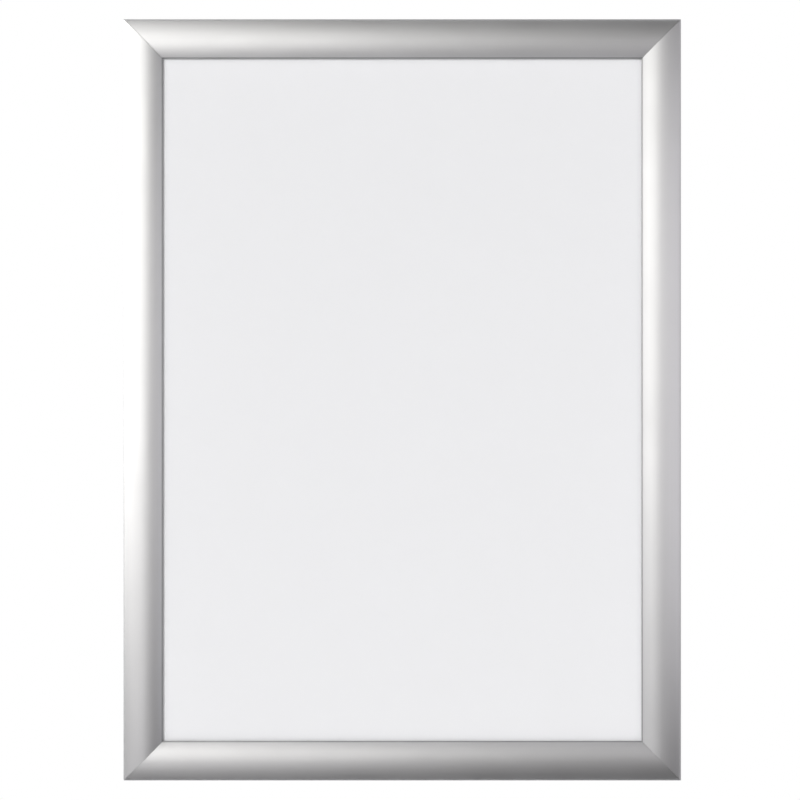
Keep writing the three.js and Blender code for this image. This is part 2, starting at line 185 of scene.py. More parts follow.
@dataclass(frozen=True)
class SatinAnodisedAluminium:
    """Aluminium extrusion, etched matt and anodised in its natural silver.

    It gives the eye a broad soft sheen that spreads further across the bar than along it, and faint lines
    along the bar from the extrusion die. Real die lines are about 0.1 mm apart, which is under a pixel, so
    they are drawn 0.7 mm apart. Painted shade draws a thin darker line along the lip that presses on the
    clear sheet, and painted shade makes the metal a little greyer where it turns down to the outer edge.
    """

    # Where along U the painted shade on the lip ends, and where the painted shade towards the outer edge
    # starts
    lip_end: float
    painted_edge_shade_start: float
    # How dark and how soft the painted shade along the lip is
    painted_lip_shade: float = 0.6
    painted_lip_shade_fade: float = 0.3 * MM
    # How dark and how gradual the painted shade towards the outer edge is
    painted_edge_shade: float = 0.85
    painted_edge_shade_fade: float = 4 * MM
    colour: str = "#D1D1D4"
    roughness: float = 0.59
    roughness_spread: float = 0.035
    anisotropy: float = 0.45
    line_spacing: float = 0.7 * MM
    line_length: float = 400 * MM
    line_depth: float = 0.0012 * MM
    line_shade: float = 0.975
    line_octaves: float = 3
    line_gain: float = 0.6
    clouds: Mottle = Mottle(45 * MM, 2)

    def material(self) -> bpy.types.Material:
        """Builds the material, which reads the rail's UV map: across the section, then along the bar.

        Returns:
            The material.
        """
        material, tree = new_material("satin_anodised_aluminium")
        place = add_node(tree, "ShaderNodeUVMap", {"uv_map": RAIL_UV}).outputs["UV"]
        scale = (1 / self.line_spacing, 1 / self.line_length, 1)
        stretched = add_node(tree, "ShaderNodeMapping", inputs={"Vector": place, "Scale": scale})
        lines = add_node(
            tree,
            "ShaderNodeTexNoise",
            inputs={
                "Vector": stretched.outputs[0],
                "Scale": 1.0,
                "Detail": self.line_octaves,
                "Roughness": self.line_gain,
            },
        )
        where = add_node(tree, "ShaderNodeTexCoord").outputs["Object"]
        clouds = add_node(tree, "ShaderNodeTexNoise", inputs=self.clouds.inputs(where))
        shade = add_node(
            tree,
            "ShaderNodeMapRange",
            inputs={"Value": lines.outputs[0], **NOISE_SPAN, "To Min": self.line_shade, "To Max": 1.0},
        )
        across = add_node(tree, "ShaderNodeSeparateXYZ", inputs={"Vector": place}).outputs["X"]
        # Painted shade: a thin darker line along the lip, standing in for the shadow between the nose and
        # the sheet
        lip = add_node(
            tree,
            "ShaderNodeMapRange",
            inputs={
                "Value": across,
                "From Min": self.lip_end - self.painted_lip_shade_fade / 2,
                "From Max": self.lip_end + self.painted_lip_shade_fade / 2,
                "To Min": self.painted_lip_shade,
                "To Max": 1.0,
            },
        )
        # Painted shade: greyer metal where the shoulder turns down to the outer edge
        edge = add_node(
            tree,
            "ShaderNodeMapRange",
            {"interpolation_type": "SMOOTHSTEP"},
            {
                "Value": across,
                "From Min": self.painted_edge_shade_start,
                "From Max": self.painted_edge_shade_start + self.painted_edge_shade_fade,
                "To Min": 1.0,
                "To Max": self.painted_edge_shade,
            },
        )
        # The two painted shades together: along the lip and towards the outer edge
        both = add_node(
            tree, "ShaderNodeMath", {"operation": "MULTIPLY"}, {0: lip.outputs[0], 1: edge.outputs[0]}
        )
        # The die lines' tone times the painted shade
        lines_and_painted_shade = add_node(
            tree, "ShaderNodeMath", {"operation": "MULTIPLY"}, {0: shade.outputs[0], 1: both.outputs[0]}
        )
        tone = add_node(
            tree,
            "ShaderNodeMix",
            {"data_type": "RGBA", "blend_type": "MULTIPLY"},
            {"Factor": 1.0, "A": linear_colour(self.colour), "B": lines_and_painted_shade.outputs[0]},
        )
        sheen = add_node(
            tree,
            "ShaderNodeMapRange",
            inputs={
                "Value": clouds.outputs[0],
                **NOISE_SPAN,
                "To Min": self.roughness - self.roughness_spread / 2,
                "To Max": self.roughness + self.roughness_spread / 2,
            },
        )
        grooves = add_node(
            tree, "ShaderNodeBump", inputs={"Height": lines.outputs[0], "Distance": self.line_depth}
        )
        grain = add_node(tree, "ShaderNodeTangent", {"direction_type": "UV_MAP", "uv_map": RAIL_UV})
        shader = add_node(
            tree,
            "ShaderNodeBsdfPrincipled",
            inputs={
                "Base Color": tone.outputs["Result"],
                "Metallic": 1.0,
                "Roughness": sheen.outputs[0],
                "Anisotropic": self.anisotropy,
                "Normal": grooves.outputs[0],
                "Tangent": grain.outputs[0],
            },
        )
        finish_surface(tree, shader)
        return material


@dataclass(frozen=True)
class MillAluminium:
    """Aluminium extrusion left as it leaves the die.

    It gives the eye a greyer and streakier sheen than the anodised covers. The streaks follow the bar.
    """

    run: Run
    colour: str = "#B9BBBD"
    roughness: float = 0.42
    roughness_spread: float = 0.08
    streak_width: float = 0.9 * MM
    streak_length: float = 160 * MM
    streak_depth: float = 0.004 * MM
    streak_shade: float = 0.88
    streak_octaves: float = 4
    streak_gain: float = 0.65

    def material(self) -> bpy.types.Material:
        """Builds the material, which reads object coordinates.

        Returns:
            The material.
        """
        material, tree = new_material(f"mill_aluminium_{self.run.name.lower()}")
        where = add_node(tree, "ShaderNodeTexCoord").outputs["Object"]
        scale = [1 / self.streak_width] * 3
        scale[self.run.value] = 1 / self.streak_length
        stretched = add_node(tree, "ShaderNodeMapping", inputs={"Vector": where, "Scale": scale})
        streaks = add_node(
            tree,
            "ShaderNodeTexNoise",
            inputs={
                "Vector": stretched.outputs[0],
                "Scale": 1.0,
                "Detail": self.streak_octaves,
                "Roughness": self.streak_gain,
            },
        )
        spread = {"Value": streaks.outputs[0], **NOISE_SPAN}
        shade = add_node(
            tree, "ShaderNodeMapRange", inputs={**spread, "To Min": self.streak_shade, "To Max": 1.0}
        )
        sheen = add_node(
            tree,
            "ShaderNodeMapRange",
            inputs={**spread, "To Min": self.roughness + self.roughness_spread, "To Max": self.roughness},
        )
        tone = add_node(
            tree,
            "ShaderNodeMix",
            {"data_type": "RGBA", "blend_type": "MULTIPLY"},
            {"Factor": 1.0, "A": linear_colour(self.colour), "B": shade.outputs[0]},
        )
        grooves = add_node(
            tree, "ShaderNodeBump", inputs={"Height": streaks.outputs[0], "Distance": self.streak_depth}
        )
        shader = add_node(
            tree,
            "ShaderNodeBsdfPrincipled",
            inputs={
                "Base Color": tone.outputs["Result"],
                "Metallic": 1.0,
                "Roughness": sheen.outputs[0],
                "Normal": grooves.outputs[0],
            },
        )
        finish_surface(tree, shader)
        return material


@dataclass(frozen=True)
class TintedSteel:
    """Steel whose colour drifts between two tints, with a grain in its sheen."""

    name: str
    light: str
    dark: str
    roughness: float
    roughness_spread: float
    tints: Mottle
    grain: Mottle

    def material(self) -> bpy.types.Material:
        """Builds the material, which reads object coordinates.

        Returns:
            The material.
        """
        material, tree = new_material(self.name)
        where = add_node(tree, "ShaderNodeTexCoord").outputs["Object"]
        tints = add_node(tree, "ShaderNodeTexNoise", inputs=self.tints.inputs(where))
        grain = add_node(tree, "ShaderNodeTexNoise", inputs=self.grain.inputs(where))
        tone = add_node(
            tree,
            "ShaderNodeMix",
            {"data_type": "RGBA"},
            {"Factor": tints.outputs[0], "A": linear_colour(self.dark), "B": linear_colour(self.light)},
        )
        sheen = add_node(
            tree,
            "ShaderNodeMapRange",
            inputs={
                "Value": grain.outputs[0],
                "To Min": self.roughness - self.roughness_spread / 2,
                "To Max": self.roughness + self.roughness_spread / 2,
            },
        )
        shader = add_node(
            tree,
            "ShaderNodeBsdfPrincipled",
            inputs={"Base Color": tone.outputs["Result"], "Metallic": 1.0, "Roughness": sheen.outputs[0]},
        )
        finish_surface(tree, shader)
        return material


@dataclass(frozen=True)
class ZincPlatedSteel(TintedSteel):
    """Pressed steel with a bright zinc plating.

    It gives the eye a cool, slightly clouded metal, lighter than the bare spring steel.
    """

    name: str = "zinc_plated_steel"
    light: str = "#A9AEB4"
    dark: str = "#8F959C"
    roughness: float = 0.38
    roughness_spread: float = 0.12
    tints: Mottle = Mottle(4 * MM, 5)
    grain: Mottle = Mottle(4 * MM, 5)


@dataclass(frozen=True)
class BluedSpringSteel(TintedSteel):
    """Hardened spring strip, rolled and blued by its heat treatment.

    It gives the eye a dark blue-grey metal whose tint drifts a little, with a fine grain in its sheen.
    """

    name: str = "blued_spring_steel"
    light: str = "#6E747C"
    dark: str = "#565D68"
    roughness: float = 0.33
    roughness_spread: float = 0.16
    tints: Mottle = Mottle(9 * MM, 3)
    grain: Mottle = Mottle(0.35 * MM, 2)


@dataclass(frozen=True)
class MattSheet:
    """A matt sheet whose tone and relief follow one faint pattern."""

    name: str
    light: str
    dark: str
    roughness: float
    gloss: float
    ior: float
    pattern: Mottle
    depth: float

    def material(self) -> bpy.types.Material:
        """Builds the material, which reads object coordinates.

        Returns:
            The material.
        """
        material, tree = new_material(self.name)
        where = add_node(tree, "ShaderNodeTexCoord").outputs["Object"]
        pattern = add_node(tree, "ShaderNodeTexNoise", inputs=self.pattern.inputs(where))
        tone = add_node(
            tree,
            "ShaderNodeMix",
            {"data_type": "RGBA"},
            {"Factor": pattern.outputs[0], "A": linear_colour(self.dark), "B": linear_colour(self.light)},
        )
        relief = add_node(
            tree, "ShaderNodeBump", inputs={"Height": pattern.outputs[0], "Distance": self.depth}
        )
        shader = add_node(
            tree,
            "ShaderNodeBsdfPrincipled",
            inputs={
                "Base Color": tone.outputs["Result"],
                "Roughness": self.roughness,
                "IOR": self.ior,
                "Specular IOR Level": self.gloss,
                "Normal": relief.outputs[0],
            },
        )
        finish_surface(tree, shader)
        return material


@dataclass(frozen=True)
class WhitePolystyrene(MattSheet):
    """Extruded polystyrene sheet, white and calendered.

    It gives the eye a clean matt white with a very slight ripple in its sheen.
    """

    name: str = "white_polystyrene_sheet"
    light: str = "#F0F0EE"
    dark: str = "#E9E9E7"
    roughness: float = 0.5
    gloss: float = 0.5
    ior: float = 1.59
    pattern: Mottle = Mottle(6 * MM, 2)
    depth: float = 0.01 * MM


@dataclass(frozen=True)
class UncoatedPaper(MattSheet):
    """Blank uncoated poster paper in a very light cool grey.

    It gives the eye one even tone. Its fibres show only as a faint mottle of about a millimetre.
    """

    name: str = "uncoated_paper"
    light: str = "#EDEDEF"
    dark: str = "#EAEAEC"
    roughness: float = 0.9
    gloss: float = 0.2
    ior: float = 1.5
    pattern: Mottle = Mottle(1.2 * MM, 4)
    depth: float = 0.006 * MM


@dataclass(frozen=True)
class NonGlarePlastic:
    """Clear PVC sheet with a fine matt embossing on its front.

    It gives the eye no reflection of the room, only a thin haze over the paper. The embossing's grain is
    0.1 mm and smaller, so it is drawn 0.6 mm coarse.
    """

    colour: str = "#FFFFFF"
    haze: float = 0.06
    roughness: float = 0.6
    ior: float = 1.54
    grain: Mottle = Mottle(0.6 * MM, 2)
    grain_depth: float = 0.02 * MM

    def material(self) -> bpy.types.Material:
        """Builds the material, which reads object coordinates.

        Returns:
            The material.
        """
        material, tree = new_material("non_glare_clear_plastic")
        where = add_node(tree, "ShaderNodeTexCoord").outputs["Object"]
        grain = add_node(tree, "ShaderNodeTexNoise", inputs=self.grain.inputs(where))
        emboss = add_node(
            tree, "ShaderNodeBump", inputs={"Height": grain.outputs[0], "Distance": self.grain_depth}
        )
        shader = add_node(
            tree,
            "ShaderNodeBsdfPrincipled",
            inputs={
                "Base Color": linear_colour(self.colour),
                "Roughness": self.roughness,
                "IOR": self.ior,
                "Alpha": self.haze,
                "Normal": emboss.outputs[0],
            },
        )
        finish_surface(tree, shader)
        return material


@dataclass(frozen=True)
class StudioPaint:
    """Plain emulsion paint on the studio floor: an even, very pale matt surface."""

    colour: str = "#F2F2F2"
    roughness: float = 0.8
    gloss: float = 0.2

    def material(self) -> bpy.types.Material:
        """Builds the material.

        Returns:
            The material.
        """
        material, tree = new_material("pale_floor_paint")
        shader = add_node(
            tree,
            "ShaderNodeBsdfPrincipled",
            inputs={
                "Base Color": linear_colour(self.colour),
                "Roughness": self.roughness,
                "Specular IOR Level": self.gloss,
            },
        )
        finish_surface(tree, shader)
        return material


@dataclass(frozen=True)
class GreyCard:
    """Grey studio board: the unlit part of the room that bare metal mirrors.

    Light that reaches the paper by way of the metal counts as coming from the white surroundings.
    """

    brightness: float

    def material(self) -> bpy.types.Material:
        """Builds the material.

        Returns:
            The material.
        """
        material, tree = new_material("grey_card")
        path = add_node(tree, "ShaderNodeLightPath")
        level = add_node(
            tree,
            "ShaderNodeMapRange",
            inputs={"Value": path.outputs["Diffuse Depth"], "To Min": self.brightness, "To Max": 1.0},
        )
        shader = add_node(tree, "ShaderNodeEmission", inputs={"Strength": level.outputs[0]})
        finish_surface(tree, shader)
        return material


def dress(target: bpy.types.Object, material: bpy.types.Material) -> None:
    """Gives an object one material.

    Args:
        target: The object.
        material: Its finish.
    """
    for place in range(len(target.data.materials)):
        target.data.materials[place] = material
    if not target.data.materials:
        target.data.materials.append(material)


def polar(centre: Vector, radius: float, angle: float) -> Vector:
    """Gives the point at a distance and an angle from a centre.

    Args:
        centre: The centre, in the section.
        radius: The distance.
        angle: The angle in degrees from +x.

    Returns:
        The point.
    """
    return centre + radius * Vector((math.cos(math.radians(angle)), math.sin(math.radians(angle))))


def bearing(start: Vector, end: Vector) -> float:
    """Gives the angle in degrees of the direction from one point to another."""
    return math.degrees(math.atan2(end.y - start.y, end.x - start.x))


def arc(centre: Vector, radius: float, start: float, end: float, facet: float) -> list[Vector]:
    """Gives points along an arc, both ends included.

    Args:
        centre: The arc's centre.
        radius: Its radius.
        start: First angle in degrees.
        end: Last angle in degrees.
        facet: Largest step in degrees.

    Returns:
        The points in order.
    """
    steps = math.ceil(abs(end - start) / facet)
    return [polar(centre, radius, start + (end - start) * step / steps) for step in range(steps + 1)]


def set_uv(
    mesh: bmesh.types.BMesh, edges: list[bmesh.types.BMEdge], outline: list[Vector], start_u: float
) -> None:
    """Lays a UV map on a bar's long faces: U runs across the section and V along the bar, in metres.

    Args:
        mesh: The bar.
        edges: The outline's edges at the bar's near end, in order.
        outline: The section's points, in order.
        start_u: U at the outline's first point.
    """
    layer = mesh.loops.layers.uv.new(RAIL_UV)
    reached = start_u
    for edge, start, end in zip(edges, outline, outline[1:] + outline[:1]):
        width = (end - start).length
        for loop in edge.link_faces[0].loops:
            at_start = (loop.vert.co.xy - start).length < (loop.vert.co.xy - end).length
            loop[layer].uv = (reached if at_start else reached + width, loop.vert.co.z)
        reached += width


def extruded_bar(outline: list[Vector], length: float, start_u: float = HIDDEN_U) -> bmesh.types.BMesh:
    """Extrudes a section to a closed bar with square ends, centred on its length.

    Args:
        outline: The section's points, in order.
        length: The bar's length.
        start_u: U of the rail's UV map at the outline's first point.

    Returns:
        The bar.
    """
    bar = bmesh.new()
    corners = [bar.verts.new((point.x, point.y, -length / 2)) for point in outline]
    edges = [bar.edges.new(pair) for pair in zip(corners, corners[1:] + corners[:1])]
    grown = bmesh.ops.extrude_edge_only(bar, edges=edges)["geom"]
    far = [item for item in grown if isinstance(item, bmesh.types.BMVert)]
    bmesh.ops.translate(bar, verts=far, vec=(0, 0, length))
    set_uv(bar, edges, outline, start_u)
    bmesh.ops.holes_fill(bar, edges=[edge for edge in bar.edges if edge.is_boundary], sides=0)
    bmesh.ops.recalc_face_normals(bar, faces=bar.faces)
    return bar


def mitre(bar: bmesh.types.BMesh, length: float, gap: float) -> None:
    """Cuts both ends of a bar at 45 degrees, so that it is longest along the frame's outer edge.

    Args:
        bar: The bar, centred on its length.
        length: Its length along the outer edge, with half the gap at each end.
        gap: The seam's width along the outer edge.
    """
    for end in (-1, 1):
        cut = bmesh.ops.bisect_plane(
            bar,
            geom=[*bar.verts, *bar.edges, *bar.faces],
            dist=CUT_TOLERANCE,
            plane_co=(0, 0, end * (length - gap) / 2),
            plane_no=(1, 0, end),
            clear_outer=True,
        )["geom_cut"]
        rim = [item for item in cut if isinstance(item, bmesh.types.BMEdge)]
        bmesh.ops.holes_fill(bar, edges=rim, sides=0)
    bmesh.ops.recalc_face_normals(bar, faces=bar.faces)


def to_object(name: str, mesh: bmesh.types.BMesh, place: Matrix) -> bpy.types.Object:
    """Makes an object at the origin from a bmesh, with its place in its mesh.

    Args:
        name: The object's name.
        mesh: The shape, which is freed.
        place: Where the shape goes in the frame's metres.

    Returns:
        The object, linked to the scene.
    """
    bmesh.ops.transform(mesh, matrix=place, verts=mesh.verts)
    data = bpy.data.meshes.new(name)
    mesh.to_mesh(data)
    mesh.free()
    made = bpy.data.objects.new(name, data)
    bpy.context.scene.collection.objects.link(made)
    return made


def fuse(body: bpy.types.Object, *others: bpy.types.Object) -> None:
    """Joins closed shapes to one closed shape, and removes the shapes that were joined on.

    Args:
        body: The shape that stays.
        *others: The shapes that go into it.
    """
    for other in others:
        joint = body.modifiers.new("join", "BOOLEAN")
        joint.operation = "UNION"
        joint.solver = "EXACT"
        joint.object = other
    graph = bpy.context.evaluated_depsgraph_get()
    fused = bpy.data.meshes.new_from_object(body.evaluated_get(graph), depsgraph=graph)
    body.modifiers.clear()
    fused.name = body.name
    body.data = fused
    for other in others:
        bpy.data.objects.remove(other)


def smooth(target: bpy.types.Object, crease: float) -> None:
    """Shades an object smoothly, with an edge wherever its faces turn by more than an angle.

    Args:
        target: The object.
        crease: The angle in degrees.
    """
    target.data.shade_smooth()
    target.data.set_sharp_from_angle(angle=math.radians(crease))


@dataclass
class FrameSize:
    """The frame's overall sizes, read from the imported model."""

    low: Vector = field(init=False)
    high: Vector = field(init=False)
    rail_width: float = field(init=False)

    def __post_init__(self) -> None:
        """Reads the boxes round the four covers."""
        corners = [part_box(f"snap_cover_{side.word}") for side in Side]
        self.low = Vector(min(low[axis] for low, _ in corners) for axis in range(3))
        self.high = Vector(max(high[axis] for _, high in corners) for axis in range(3))
        left_low, left_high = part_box("snap_cover_left")
        self.rail_width = left_high.x - left_low.x

    @property
    def width(self) -> float:
        """Width along x."""
        return self.high.x - self.low.x

    @property
    def height(self) -> float:
        """Height along z."""
        return self.high.z - self.low.z

    @property
    def depth(self) -> float:
        """Depth from the wall to the covers' crest."""
        return -self.low.y

    @property
    def middle(self) -> Vector:
        """Middle of the frame, on the wall."""
        return Vector(((self.low.x + self.high.x) / 2, 0, (self.low.z + self.high.z) / 2))

    def length_of(self, side: Side) -> float:
        """Length of a side's rail along the outer edge."""
        return self.height if side.upright else self.width

    def joint(self, name: str) -> tuple[Vector, float]:
        """Gives a joint of the left side, as it lies in the rail's section.

        Args:
            name: The joint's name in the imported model.

        Returns:
            The place of its axis, and how far it turns in degrees.
        """
        joint = next(joint for joint in frame["joints"] if joint["name"] == name)
        across, depth, _ = joint["pos_m"]
        return Vector((across - self.low.x, -depth)), joint["range_deg"][1]

    def place(self, side: Side) -> Matrix:
        """Gives the matrix that takes a rail's section and length to a side of the frame.

        Args:
            side: The side.

        Returns:
            The matrix: section x to the frame's inside, section y to the front.
        """
        across = self.width if side.upright else self.height
        axes = Matrix(((0, 0, 1, 0), (0, -1, 0, 0), (1, 0, 0, -across / 2), (0, 0, 0, 1)))
        turn = Matrix.Rotation(math.radians(side.value), 4, "Y")
        return Matrix.Translation(self.middle) @ turn @ axes


@dataclass
class Hinge:
    """The bead along the cover's outer edge and the neck that carries it, in section."""

    centre: Vector
    bead_radius: float = 1.2 * MM
    socket_radius: float = 1.26 * MM
    socket_wall: float = 1 * MM
    neck_thickness: float = 0.8 * MM
    neck_length: float = 2.9 * MM
    neck_angle: float = 112
    end_clearance: float = 0.4 * MM
    facet: float = 6

    @property
    def top(self) -> float:
        """Height of the socket's top, where the cover's side wall starts."""
        return self.centre.y + self.socket_radius + self.socket_wall

    @property
    def setback(self) -> float:
        """How far the bead stops short of the cover's ends."""
        return self.centre.x + self.socket_radius + self.end_clearance

    def outline(self) -> list[Vector]:
        """Section of the bead and neck.

        Returns:
            The points in order.
        """
        half = math.degrees(math.asin(self.neck_thickness / 2 / self.bead_radius))
        neck_top = polar(self.centre, self.neck_length, self.neck_angle)
        return [
            polar(neck_top, self.neck_thickness / 2, self.neck_angle + 90),
            *arc(
                self.centre,
                self.bead_radius,
                self.neck_angle + half,
                self.neck_angle + 360 - half,
                self.facet,
            ),
            polar(neck_top, self.neck_thickness / 2, self.neck_angle - 90),
        ]


@dataclass
class Crown:
    """The cover's visible convex shell, in section: side wall, shoulder, two arcs and rounded nose."""

    width: float
    depth: float
    foot_height: float
    skin: float = 1.4 * MM
    crest_from_edge: float = 16.5 * MM
    shoulder_radius: float = 5 * MM
    side_wall_height: float = 1 * MM
    foot_width: float = 0.95 * MM
    nose_radius: float = 1.2 * MM
    nose_foot: float = 3.5 * MM
    arc_facet: float = 1.2
    round_facet: float = 6

    @property
    def crest(self) -> Vector:
        """The highest point."""
        return Vector((self.crest_from_edge, self.depth))

    @property
    def shoulder(self) -> Vector:
        """Centre of the shoulder's circle."""
        return Vector((self.shoulder_radius, self.foot_height + self.side_wall_height))

    @property
    def nose(self) -> Vector:
        """Centre of the nose's circle."""
        return Vector((self.width - self.nose_radius, self.nose_foot + self.nose_radius))

    def arc_radius(self, circle: Vector, radius: float) -> float:
        """Radius of the arc that is level at the crest and runs into a smaller circle inside it.

        Args:
            circle: The smaller circle's centre.
            radius: The smaller circle's radius.

        Returns:
            The arc's radius.
        """
        reach = circle.x - self.crest.x
        drop = self.crest.y - circle.y
        return (reach ** 2 + drop ** 2 - radius ** 2) / (2 * (drop - radius))

    @property
    def outer_radius(self) -> float:
        """Radius of the arc from the crest to the shoulder."""
        return self.arc_radius(self.shoulder, self.shoulder_radius)

    @property
    def outer_centre(self) -> Vector:
        """Centre of the arc from the crest to the shoulder."""
        return self.crest - Vector((0, self.outer_radius))

    @property
    def inner_radius(self) -> float:
        """Radius of the arc from the crest to the nose."""
        return self.arc_radius(self.nose, self.nose_radius)

    @property
    def inner_centre(self) -> Vector:
        """Centre of the arc from the crest to the nose."""
        return self.crest - Vector((0, self.inner_radius))

    @property
    def under_angle(self) -> float:
        """Angle in degrees at which the shell's underside meets the nose's circle.

        Returns:
            The angle.
        """
        reach = self.inner_radius - self.nose_radius
        under = self.inner_radius - self.skin
        cosine = (under ** 2 + reach ** 2 - self.nose_radius ** 2) / (2 * under * reach)
        return bearing(self.inner_centre, self.nose) + math.degrees(math.acos(cosine))

    @property
    def nose_turn(self) -> tuple[float, float]:
        """First and last angle in degrees of the nose's visible arc, from its underside to the front."""
        start = polar(self.inner_centre, self.inner_radius - self.skin, self.under_angle)
        return bearing(self.nose, start), bearing(self.inner_centre, self.nose) + 360

    @property
    def nose_length(self) -> float:
        """Length of the nose's curve."""
        start, end = self.nose_turn
        return self.nose_radius * math.radians(end - start)

    def front(self) -> list[Vector]:
        """The shell's visible side in section, from the nose's underside to the shoulder's outer edge.

        Returns:
            The points in order.
        """
        shoulder_angle = bearing(self.outer_centre, self.shoulder)
        nose_angle = bearing(self.inner_centre, self.nose)
        small, wide = self.round_facet, self.arc_facet
        return [
            *arc(self.nose, self.nose_radius, *self.nose_turn, small)[:-1],
            *arc(self.inner_centre, self.inner_radius, nose_angle, 90, wide),
            *arc(self.outer_centre, self.outer_radius, 90, shoulder_angle, wide)[1:-1],
            *arc(self.shoulder, self.shoulder_radius, shoulder_angle, 180, small),
        ]

    @property
    def front_length(self) -> float:
        """Length of the visible side in section."""
        points = self.front()
        return sum((end - start).length for start, end in zip(points, points[1:]))

    def outline(self) -> list[Vector]:
        """Section of the shell, from the nose's underside over the front to the outer edge and back.

        Returns:
            The points in order.
        """
        shoulder_angle = bearing(self.outer_centre, self.shoulder)
        small, wide = self.round_facet, self.arc_facet
        return [
            *self.front(),
            Vector((0, self.foot_height)),
            Vector((self.foot_width, self.foot_height)),
            *arc(self.shoulder, self.shoulder_radius - self.skin, 180, shoulder_angle, small),
            *arc(self.outer_centre, self.outer_radius - self.skin, shoulder_angle, 90, wide)[1:-1],
            *arc(self.inner_centre, self.inner_radius - self.skin, 90, self.under_angle, wide)[:-1],
        ]


@dataclass
class SpringRib:
    """The web inside the cover whose two lips hold the springs' edges, in section."""

    seat: Vector
    seat_radius: float
    top: float
    thickness: float = 1.2 * MM
    lip_thickness: float = 0.75 * MM
    lip_reach: float = 0.85 * MM
    lip_gap: float = 0.2 * MM
    end_setback: float = 4 * MM

    @property
    def setback(self) -> float:
        """How far the rib stops short of the cover's ends."""
        return self.seat.x + self.seat_radius + self.thickness + self.end_setback

    def outline(self) -> list[Vector]:
        """Section of the web and its lips.

        Returns:
            The points in order.
        """
        face = self.seat.x + self.seat_radius
        back = face + self.thickness
        lip_end = face - self.lip_reach
        upper = self.seat.y + self.seat_radius + self.lip_gap
        lower = self.seat.y - self.seat_radius - self.lip_gap
        points = (
            (lip_end, lower - self.lip_thickness),
            (back, lower - self.lip_thickness),
            (back, self.top),
            (face, self.top),
            (face, upper + self.lip_thickness),
            (lip_end, upper + self.lip_thickness),
            (lip_end, upper),
            (face, upper),
            (face, lower),
            (lip_end, lower),
        )
        return [Vector(point) for point in points]


@dataclass
class Springs:
    """One side's leaf springs: strips bent to an arc from a seat in the base to one in the cover."""

    side: Side
    size: FrameSize
    base_seat: Vector
    cover_seat: Vector
    count: int
    thickness: float
    width: float = 30 * MM
    rise: float = 1.2 * MM
    edge_rounding: float = 0.12 * MM
    edge_segments: int = 2
    edge_angle: float = 60
    facet: float = 2.5
    crease: float = 40

    def outline(self) -> list[Vector]:
        """Section of a strip, bent to an arc from the base's seat to the cover's.

        Returns:
            The points in order.
        """
        half = (self.cover_seat - self.base_seat).length / 2
        radius = (half ** 2 + self.rise ** 2) / (2 * self.rise)
        spread = math.degrees(math.asin(half / radius))
        up = bearing(self.base_seat, self.cover_seat) + 90
        centre = polar((self.base_seat + self.cover_seat) / 2, radius - self.rise, up + 180)
        return [
            *arc(centre, radius + self.thickness / 2, up - spread, up + spread, self.facet),
            *arc(centre, radius - self.thickness / 2, up + spread, up - spread, self.facet),
        ]

    def strip(self) -> bmesh.types.BMesh:
        """Builds one strip, centred on its width, with its edges rounded as a rolled strip's are.

        Returns:
            The strip.
        """
        strip = extruded_bar(self.outline(), self.width)
        least = math.radians(self.edge_angle)
        rims = [edge for edge in strip.edges if edge.calc_face_angle(0) > least]
        bmesh.ops.bevel(
            strip,
            geom=rims,
            offset=self.edge_rounding,
            segments=self.edge_segments,
            profile=0.5,
            affect="EDGES",
            material=-1,
        )
        return strip

    def build(self, material: bpy.types.Material) -> list[bpy.types.Object]:
        """Builds the side's springs in place of the model's.

        Args:
            material: Their finish.

        Returns:
            The springs.
        """
        made = []
        length = self.size.length_of(self.side)
        for number in range(1, self.count + 1):
            along = length * ((number - 0.5) / self.count - 0.5)
            place = self.size.place(self.side) @ Matrix.Translation((0, 0, along))
            node = f"spring_{self.side.word}_{number}"
            spring = to_object(f"leaf_{node}", self.strip(), place)
            smooth(spring, self.crease)
            dress(spring, material)
            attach(spring, f"springs_{self.side.word}")
            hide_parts(node)
            made.append(spring)
        return made


@dataclass
class Cover:
    """One hinged cover rail: the mitred crown, its hinge bead and its spring rib, in one extrusion."""

    side: Side
    size: FrameSize
    crown: Crown
    hinge: Hinge
    rib: SpringRib
    mitre_gap: float = 0.3 * MM
    crease: float = 32

    def build(self, material: bpy.types.Material) -> bpy.types.Object:
        """Builds the cover in place of the model's.

        Args:
            material: Its finish.

        Returns:
            The cover.
        """
        length = self.size.length_of(self.side)
        place = self.size.place(self.side)
        shell = extruded_bar(self.crown.outline(), length, 0)
        mitre(shell, length, self.mitre_gap)
        cover = to_object(f"cover_rail_{self.side.word}", shell, place)
        bead = extruded_bar(self.hinge.outline(), length - 2 * self.hinge.setback)
        rib = extruded_bar(self.rib.outline(), length - 2 * self.rib.setback)
        fuse(cover, to_object("bead", bead, place), to_object("rib", rib, place))
        smooth(cover, self.crease)
        dress(cover, material)
        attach(cover, f"cover_{self.side.word}")
        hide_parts(f"snap_cover_{self.side.word}")
        return cover


